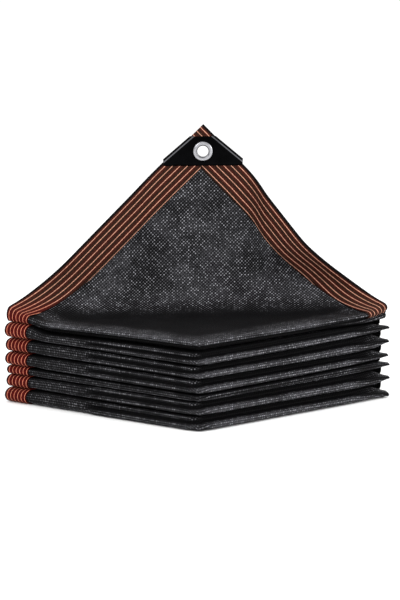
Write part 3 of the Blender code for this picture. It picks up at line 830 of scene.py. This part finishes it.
def makeMetalMaterial():
    material, tree, shader = newMaterial("eyelet_polished")
    scratches = noiseNode(tree, worldPlace(tree), metalLook["scratchScale"], 4.0).outputs["Fac"]
    far = splitPlace(tree, clothPlace(tree))[0]
    # painted highlight on the crown and painted shade at the mouth and rim, broken up by scratches
    crown = mapRange(tree, far, *metalLook["mouth"])
    rim = mapRange(tree, far, *metalLook["rim"], 1.0, metalLook["rimLeft"])
    lit = mathNode(tree, "MULTIPLY", crown, rim)
    lit = mathNode(tree, "MULTIPLY", lit, mapRange(tree, scratches, *metalLook["sheenAndWear"]))
    colour = mixColours(tree, lit, metalLook["shadedMetal"], metalLook["bright"])
    joinNodes(tree, colour, shader.inputs["Base Color"])
    joinNodes(tree, mapRange(tree, scratches, *metalLook["roughness"]), shader.inputs["Roughness"])
    shader.inputs["Metallic"].default_value = 1.0
    return material


netMaterial = makeNetMaterial()
tapeMaterial = makeTapeMaterial()
patchMaterial = makePatchMaterial()
metalMaterial = makeMetalMaterial()
print("materials made")

tipPoint = plyPoint(0, 0.0, lastV)
eyelet = {
    "depth": 29.0,
    "bore": 6.2,
    "barrel": 6.8,
    "flange": 10.8,
    "flangeHeight": 1.7,
    "washerHeight": 1.0,
    "seat": 3.3,
    "clear": 7.2,
    # how far in front of and behind its middle the tapes are opened, in metres
    "through": 0.01,
    "steps": 72,
    "roundSteps": 10,
    "rounding": 1.1,
    "roundPower": 0.7,
    "barrelPast": 0.3,
    # the washer's rounded rim, (in from the rim, up from its face)
    "washerRim": ((0.0, 0.5), (0.4, 0.12), (1.0, 0.0)),
    "washerBore": 7.1,
    "merge": 0.00001,
}
eyeletCentre = Vector((tipPoint.x, tipPoint.y, tipPoint.z - eyelet["depth"]))


def openHole(bm):
    # takes out the faces that the eyelet's barrel passes through
    reach = eyelet["clear"] * mm
    inside = []
    for vert in bm.verts:
        away = vert.co - eyeletCentre * mm
        if abs(away.y) < eyelet["through"] and math.hypot(away.x, away.z) < reach:
            inside.append(vert)
    bmesh.ops.delete(bm, geom=inside, context="VERTS")


netMesh = {
    "pitch": 5.5,
    "nearPitch": 3.6,
    "flapPitch": 3.2,
    "nearTo": 60.0,
    "cornerSteps": 10,
    "stopsBelowTip": 40.0,
    # painted shade on the inner plies and on the back-right turns
    "innerTone": 0.4,
    "turnTone": 0.3,
    "merge": 0.00002,
    "flat": (0.31, 4.45),
}


def trimCorner(bm):
    # the net ends behind the patch, below the eyelet
    level = (tipPoint.z - netMesh["stopsBelowTip"]) * mm
    whole = bm.verts[:] + bm.edges[:] + bm.faces[:]
    up = (0.0, 0.0, 1.0)
    bmesh.ops.bisect_plane(bm, geom=whole, plane_co=(0.0, 0.0, level), plane_no=up, clear_outer=True)


def stations(low, high):
    # closer together near both ends, where the net shows
    near = netMesh["nearTo"]
    first = spaced(low, near, netMesh["nearPitch"])
    middle = spaced(near, high - near, netMesh["pitch"])
    last = spaced(high - near, high, netMesh["nearPitch"])
    return first + middle[1:] + last[1:]


def makeNet():
    bm = bmesh.new()
    uvLayer = bm.loops.layers.uv.new("cloth")
    toneLayer = bm.loops.layers.uv.new("tone")
    uAll = stations(0.0, innerU)
    vAll = stations(firstV, backV[0])
    vWhole = vAll + backV[1:]
    uFlap = spaced(0.0, innerU, netMesh["flapPitch"])
    vFlap = spaced(firstV, backV[0], netMesh["flapPitch"]) + backV[1:]
    for ply in range(plies):
        us = uFlap if ply == 0 else uAll
        vs = vFlap if ply == 0 else (vWhole if ply == plies - 1 else vAll)
        rows = [[plyPoint(ply, u, v) for v in vs] for u in us]
        inner = netMesh["innerTone"]
        tones = [[topTone(u, v) if ply == 0 else inner for v in vs] for u in us]
        addGrid(bm, uvLayer, rows, [[(u, v) for v in vs] for u in us], toneLayer, tones)
    for leaf in range(packet["leaves"]):
        sections = leafSections[leafTable[leaf][0]]
        rows = [leftFold(leaf, u) for u in uAll]
        runs = [lengthAlong(row) for row in rows]
        tones = [toneLine(sectionAt(sections["left"], u)) for u in uAll]
        uvRows = [[(u, firstV - s) for s in run] for u, run in zip(uAll, runs)]
        addGrid(bm, uvLayer, rows, uvRows, toneLayer, tones)
        last = rows[-1]
        lastTone = tones[-1]
        sides = [rightFold(leaf, v) for v in vWhole]
        runs = [lengthAlong(row) for row in sides]
        tones = [toneLine(sectionAt(sections["right"], v)) for v in vWhole]
        uvRows = [[(innerU + s, v) for s in run] for v, run in zip(vWhole, runs)]
        addGrid(bm, uvLayer, sides, uvRows, toneLayer, tones)
        corner = [((0.0, -1.0), last, lastTone)] + cornerFolds(leaf, netMesh["cornerSteps"])
        corner.append(((1.0, 0.0), sides[0], tones[0]))
        uvRows = []
        for (du, dv), row, _ in corner:
            uvRows.append([(innerU + du * s, firstV + dv * s) for s in lengthAlong(row)])
        cornerRows = [row for _, row, _ in corner]
        cornerTones = [tone for _, _, tone in corner]
        addGrid(bm, uvLayer, cornerRows, uvRows, toneLayer, cornerTones)
    for upperPly in range(1, plies - 1, 2):
        rows = [turnLine(upperPly, u) for u in uAll]
        runs = [lengthAlong(row) for row in rows]
        tones = [[netMesh["turnTone"]] * len(row) for row in rows]
        uvRows = [[(u, backV[0] + s) for s in run] for u, run in zip(uAll, runs)]
        addGrid(bm, uvLayer, rows, uvRows, toneLayer, tones)
    bmesh.ops.remove_doubles(bm, verts=bm.verts, dist=netMesh["merge"])
    bmesh.ops.recalc_face_normals(bm, faces=bm.faces)
    trimCorner(bm)
    net = finishMesh("shade_net", bm, netMaterial)
    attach(net, "root")
    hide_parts("net")
    return net


net = makeNet()
print("net made,", len(net.data.polygons), "faces")

tape = {
    "width": 34.0,
    "centre": 1.2,
    "pastEdge": 0.9,
    "pitch": 4.0,
    "across": 8,
    "turnSteps": 4,
    "thickness": 0.0005,
    "merge": 0.00001,
    # where the selvedge tape starts on the top ply, and how much longer its steps are in the packet
    "selvedgeTo": 265.7,
    "hiddenPitch": 4,
    "selvedgeLength": 4.35,
    "endLength": 0.312,
    # points of the top fold that the end tape goes round
    "endFoldPoints": 12,
}


def tapeSection(points, normals):
    # front leg, turn round the net's edge, back leg, from one line of points across the tape
    away = tape["centre"]
    edge = points[-1]
    outward = (points[-1] - points[-2]).normalized()
    front = [p + n * away for p, n in zip(points, normals)]
    back = [p - n * away for p, n in zip(points, normals)]
    turn = []
    for i in range(1, tape["turnSteps"]):
        angle = math.pi * i / tape["turnSteps"]
        past = outward * tape["pastEdge"] * math.sin(angle)
        turn.append(edge + past + normals[-1] * away * math.cos(angle))
    return front + turn + back[::-1]


def gridNormals(rows):
    # the net's normal at each point of a grid, from its neighbours
    normals = []
    for i, row in enumerate(rows):
        before = rows[max(0, i - 1)]
        after = rows[min(len(rows) - 1, i + 1)]
        line = []
        for j in range(len(row)):
            along = after[j] - before[j]
            across = row[min(len(row) - 1, j + 1)] - row[max(0, j - 1)]
            line.append(along.cross(across).normalized())
        normals.append(line)
    return normals


def makeTape(name, rows, node, flip):
    # rows run along the tape, each from its inner edge out to the net's edge
    bm = bmesh.new()
    uvLayer = bm.loops.layers.uv.new("cloth")
    normals = gridNormals(rows)
    if flip:
        normals = [[-n for n in line] for line in normals]
    run = lengthAlong([row[-1] for row in rows])
    sections = []
    uvRows = []
    for row, line, s in zip(rows, normals, run):
        sections.append(tapeSection(row, line))
        reach = lengthAlong(row)
        acrossAt = [reach[-1] - far for far in reach]
        turned = [0.0] * (tape["turnSteps"] - 1)
        uvRows.append([(a, s) for a in acrossAt + turned + acrossAt[::-1]])
    addGrid(bm, uvLayer, sections, uvRows)
    bmesh.ops.remove_doubles(bm, verts=bm.verts, dist=tape["merge"])
    bmesh.ops.recalc_face_normals(bm, faces=bm.faces)
    openHole(bm)
    piece = finishMesh(name, bm, tapeMaterial)
    shell = piece.modifiers.new("thickness", "SOLIDIFY")
    shell.thickness = tape["thickness"]
    shell.offset = 0.0
    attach(piece, "root")
    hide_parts(node)


def selvedgeLine(u):
    # from the raised corner through every fold down to the last ply
    line = [plyPoint(0, u, v) for v in reversed(spaced(firstV, tape["selvedgeTo"], tape["pitch"]))]
    vs = spaced(firstV, backV[0], tape["hiddenPitch"] * tape["pitch"])
    for leaf in range(topLeaf, -1, -1):
        lower = 2 * (topLeaf - leaf) + 1
        line += leftFold(leaf, u)[1:]
        line += [plyPoint(lower, u, v) for v in vs[1:-1]]
        if leaf > 0:
            line += turnLine(lower, u)
            line += [plyPoint(lower + 1, u, v) for v in reversed(vs[1:])][1:]
            line.append(plyPoint(lower + 1, u, firstV))
        else:
            line += [plyPoint(lower, u, v) for v in backV]
    return line


def makeSelvedge():
    us = [tape["width"] * (1 - j / tape["across"]) for j in range(tape["across"] + 1)]
    lines = [selvedgeLine(u) for u in us]
    rows = [list(row) for row in zip(*lines)]
    makeTape("selvedge_binding", rows, "selvedge_tape", False)


def endLine(v):
    # along the raised corner's other edge and round the top fold
    line = [plyPoint(0, u, v) for u in spaced(0.0, innerU, tape["pitch"])]
    return line + rightFold(topLeaf, v)[1:tape["endFoldPoints"] + 1]


def makeEndTape():
    count = tape["across"]
    inner = side - tape["width"]
    vs = [inner + (lastV - inner) * j / count for j in range(count + 1)]
    lines = [endLine(v) for v in vs]
    rows = [list(row) for row in zip(*lines)]
    makeTape("end_binding", rows, "end_tape", True)


makeSelvedge()
makeEndTape()
print("bindings made")

# Outline of the coated patch from the eyelet's centre, (across, up), with how far each edge wraps
# back, and the section of its rim as (in from the edge, share of the depth that it drops)
patch = {
    "outline": ((14.5, 16.5), (44.0, -8.5), (43.5, -16.0), (-43.5, -16.0), (-44.0, -8.5), (-14.5, 16.5)),
    "wraps": (3.0, 1.2, 1.2, 1.2, 3.0, 1.2),
    "front": 3.0,
    "rim": ((0.0, 1.0), (0.35, 0.45), (1.0, 0.12), (1.9, 0.0), (2.7, 0.18), (3.3, 0.42), (4.2, 0.42)),
    "rimDepth": 1.2,
    # the face from the rim in to the eyelet, slightly puffed up
    "faceShares": (0.75, 0.5, 0.25, 0.0),
    "faceDrop": 0.42,
    "facePuff": 0.14,
    "faceEase": 0.3,
    "steps": 144,
    "merge": 0.00001,
}


def patchEdge(angle, inset):
    # distance from the eyelet's centre to the outline set in by a length, and how far the edge that
    # it meets wraps back
    direction = Vector((math.cos(angle), math.sin(angle)))
    best = None
    corners = [Vector(point) for point in patch["outline"]]
    for i, (a, b) in enumerate(zip(corners, corners[1:] + corners[:1])):
        along = (b - a).normalized()
        outward = Vector((-along.y, along.x))
        if outward.dot(a) < 0:
            outward = -outward
        facing = outward.dot(direction)
        if facing > 1e-6:
            far = (outward.dot(a) - inset) / facing
            if best is None or far < best[0]:
                best = (far, patch["wraps"][i])
    return best


def makePatch():
    bm = bmesh.new()
    uvLayer = bm.loops.layers.uv.new("cloth")
    corners = [math.atan2(y, x) for x, y in patch["outline"]]
    angles = sorted([tau * i / patch["steps"] - math.pi for i in range(patch["steps"])] + corners)
    angles.append(angles[0] + tau)
    for facing in (-1, 1):
        rows = []
        for angle in angles:
            row = []
            for inset, drops in patch["rim"]:
                far, wrap = patchEdge(angle, inset)
                depth = patch["front"] - drops * (wrap if inset == 0.0 else patch["rimDepth"])
                row.append((far, depth))
            inner = row[-1][0]
            for share in patch["faceShares"]:
                far = eyelet["clear"] + (inner - eyelet["clear"]) * share
                puff = patch["facePuff"] * smoothStep(0.0, patch["faceEase"], share)
                row.append((far, patch["front"] - patch["faceDrop"] + puff))
            points = []
            for far, depth in row:
                x = math.cos(angle) * far
                z = math.sin(angle) * far
                points.append(eyeletCentre + Vector((x, facing * depth, z)))
            rows.append(points)
        uvRows = [[(p.x - eyeletCentre.x, p.z - eyeletCentre.z) for p in row] for row in rows]
        addGrid(bm, uvLayer, rows, uvRows)
    bmesh.ops.remove_doubles(bm, verts=bm.verts, dist=patch["merge"])
    bmesh.ops.recalc_face_normals(bm, faces=bm.faces)
    piece = finishMesh("corner_patch_coated", bm, patchMaterial)
    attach(piece, "root")
    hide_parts("corner_patch")


makePatch()


def turnedRing(name, profile, node):
    # a profile of (radius, height towards the front) turned about the eyelet's axis
    bm = bmesh.new()
    uvLayer = bm.loops.layers.uv.new("cloth")
    rows = []
    closed = list(profile) + [profile[0]]
    for i in range(eyelet["steps"] + 1):
        angle = tau * i / eyelet["steps"]
        row = []
        for radius, height in closed:
            away = Vector((radius * math.cos(angle), -height, radius * math.sin(angle)))
            row.append(eyeletCentre + away)
        rows.append(row)
    # here the flat place is the distance from the eyelet's axis
    addGrid(bm, uvLayer, rows, [[(radius, 0.0) for radius, _ in closed]] * len(rows))
    bmesh.ops.remove_doubles(bm, verts=bm.verts, dist=eyelet["merge"])
    bmesh.ops.recalc_face_normals(bm, faces=bm.faces)
    piece = finishMesh(name, bm, metalMaterial)
    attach(piece, "root")
    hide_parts(node)


def makeEyelet():
    seat = eyelet["seat"]
    rim = eyelet["flange"]
    bore = eyelet["bore"]
    face = seat + eyelet["flangeHeight"]
    crown = eyelet["rounding"]
    middle = (rim + bore) / 2
    rounded = []
    for i in range(eyelet["roundSteps"] + 1):
        angle = math.pi * i / eyelet["roundSteps"]
        radius = middle - (rim - bore) / 2 * math.cos(angle)
        rounded.append((radius, face - crown + crown * math.sin(angle) ** eyelet["roundPower"]))
    washerFace = -seat - eyelet["washerHeight"]
    back = washerFace - eyelet["barrelPast"]
    front = [(rim, seat), (eyelet["barrel"], seat), (eyelet["barrel"], back), (bore, back)]
    turnedRing("eyelet_flange", front + rounded, "eyelet_front")
    ring = [(rim, -seat)] + [(rim - inward, washerFace + up) for inward, up in eyelet["washerRim"]]
    ring += [(eyelet["washerBore"], washerFace), (eyelet["washerBore"], -seat)]
    turnedRing("eyelet_washer", ring, "eyelet_back")


makeEyelet()
print("patch and eyelet made")

studio = {
    "floor": (0.96, 0.96, 0.96),
    "floorHalf": 30.0,
    "floorHeight": -0.0002,
    "world": (1.0, 1.0, 1.0),
    "worldStrength": 1.1,
    # name, place, aimed at, size, watts
    "lights": (
        ("keyLight", (-1.3, -2.2, 1.7), (0.0, 0.0, 0.1), 1.1, 30.0),
        ("sideLight", (2.0, -1.9, 1.0), (0.0, 0.0, 0.1), 1.0, 40.0),
        ("topLight", (0.0, 0.2, 2.6), (0.0, 0.0, 0.1), 1.4, 16.0),
    ),
}


def makeFloor():
    mesh = bpy.data.meshes.new("floor")
    bm = bmesh.new()
    bmesh.ops.create_grid(bm, x_segments=1, y_segments=1, size=studio["floorHalf"])
    bm.to_mesh(mesh)
    bm.free()
    material, _, shader = newMaterial("floor_plain")
    shader.inputs["Base Color"].default_value = (*studio["floor"], 1.0)
    shader.inputs["Roughness"].default_value = 1.0
    shader.inputs["Specular IOR Level"].default_value = 0.0
    mesh.materials.append(material)
    floor = bpy.data.objects.new("floor", mesh)
    floor.location.z = studio["floorHeight"]
    bpy.context.scene.collection.objects.link(floor)


def makeLights():
    world = bpy.data.worlds.new("studio")
    world.use_nodes = True
    background = world.node_tree.nodes["Background"]
    background.inputs["Color"].default_value = (*studio["world"], 1.0)
    background.inputs["Strength"].default_value = studio["worldStrength"]
    bpy.context.scene.world = world
    for name, at, aim, size, watts in studio["lights"]:
        light = bpy.data.lights.new(name, "AREA")
        light.size = size
        light.energy = watts
        lamp = bpy.data.objects.new(name, light)
        lamp.location = at
        towards = Vector(aim) - Vector(at)
        lamp.rotation_euler = towards.to_track_quat("-Z", "Y").to_euler()
        bpy.context.scene.collection.objects.link(lamp)


# The photo's viewing angle: a long lens, a little above the packet
view = {
    "at": (0.002, -3.258, 0.5387),
    "pitch": 7.49,
    "roll": -0.63,
    "lens": 179.5,
    "sensor": 36.0,
    "farthest": 100.0,
}


def makeCamera():
    data = bpy.data.cameras.new("camera")
    data.lens = view["lens"]
    data.sensor_width = view["sensor"]
    data.clip_end = view["farthest"]
    camera = bpy.data.objects.new("camera", data)
    tilt = Matrix.Rotation(math.radians(90.0 - view["pitch"]), 4, "X")
    roll = Matrix.Rotation(math.radians(view["roll"]), 4, "Z")
    camera.matrix_world = Matrix.Translation(view["at"]) @ tilt @ roll
    bpy.context.scene.collection.objects.link(camera)
    bpy.context.scene.camera = camera


makeFloor()
makeLights()
makeCamera()
bpy.context.scene.view_settings.view_transform = "Standard"
print("floor, lights and camera made")
